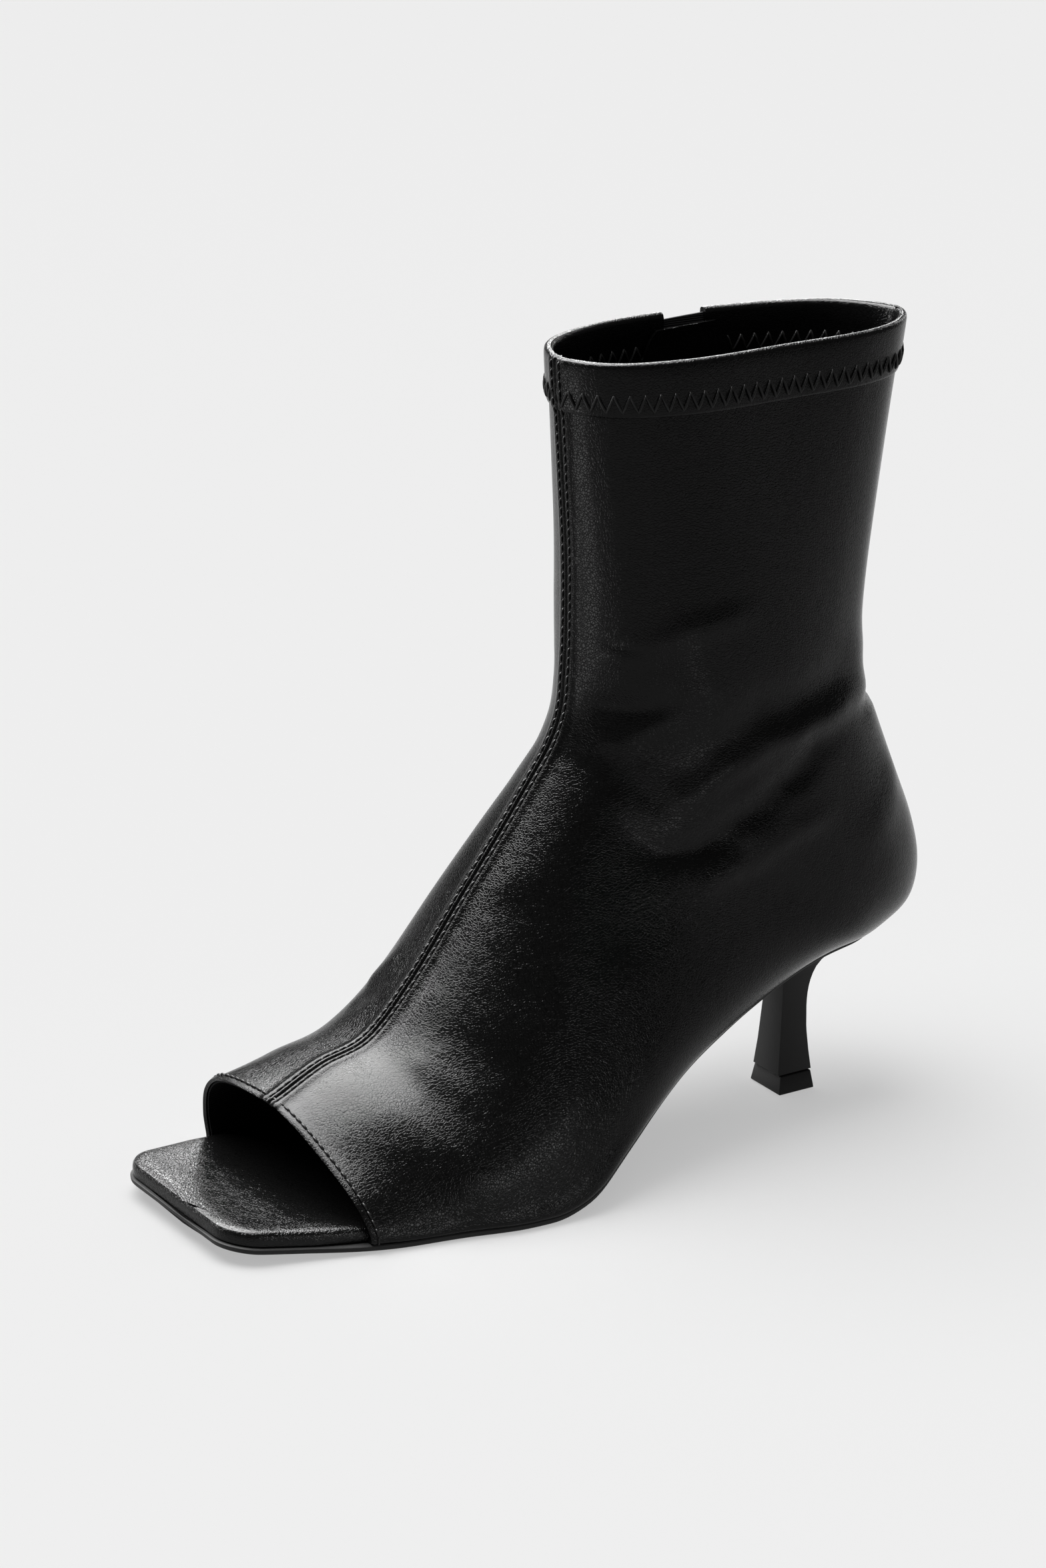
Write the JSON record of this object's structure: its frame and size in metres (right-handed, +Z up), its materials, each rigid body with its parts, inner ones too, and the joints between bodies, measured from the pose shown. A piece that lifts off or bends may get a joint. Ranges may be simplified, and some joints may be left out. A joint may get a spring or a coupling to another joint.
{
  "type": "ankle boot",
  "caption": "Left ankle boot with a square open toe, a slim flared block heel, a stretch collar hem and a zip up its inner side.",
  "frame": {"origin": "middle of the bounding box, at the floor that the boot stands on", "axes": "+Z up, toe towards -Y, outer side of the left foot towards +X"},
  "size_m": [0.0882, 0.2284, 0.219],
  "materials": {
    "upper": "black imitation leather, satin, fine grain",
    "footbed": "black imitation leather sock over foam, satin",
    "outsole": "black rubber, matt",
    "heel": "black lacquered plastic block, satin",
    "top_lift": "black rubber, matt",
    "zip_tape": "black woven tape with a black nylon coil",
    "zip_placket": "black imitation leather, satin",
    "zip_slider": "black lacquered die-cast metal",
    "zip_pull": "black lacquered die-cast metal"
  },
  "bodies": {
    "boot": {"upper": "upper", "footbed": "footbed", "outsole": "outsole", "heel": "heel", "top_lift": "top_lift", "zip_tape": "zip_tape", "zip_placket": "zip_placket", "zip_slider": "zip_slider"},
    "pull": {"zip_pull": "zip_pull"}
  },
  "joints": [
    {"name": "pull_swing", "type": "hinge", "parent": "boot", "child": "pull", "pos_m": [-0.02826, 0.05279, 0.2089], "axis": [0.1014, 0.9939, 0.0433], "range_deg": [0, 165]}
  ]
}
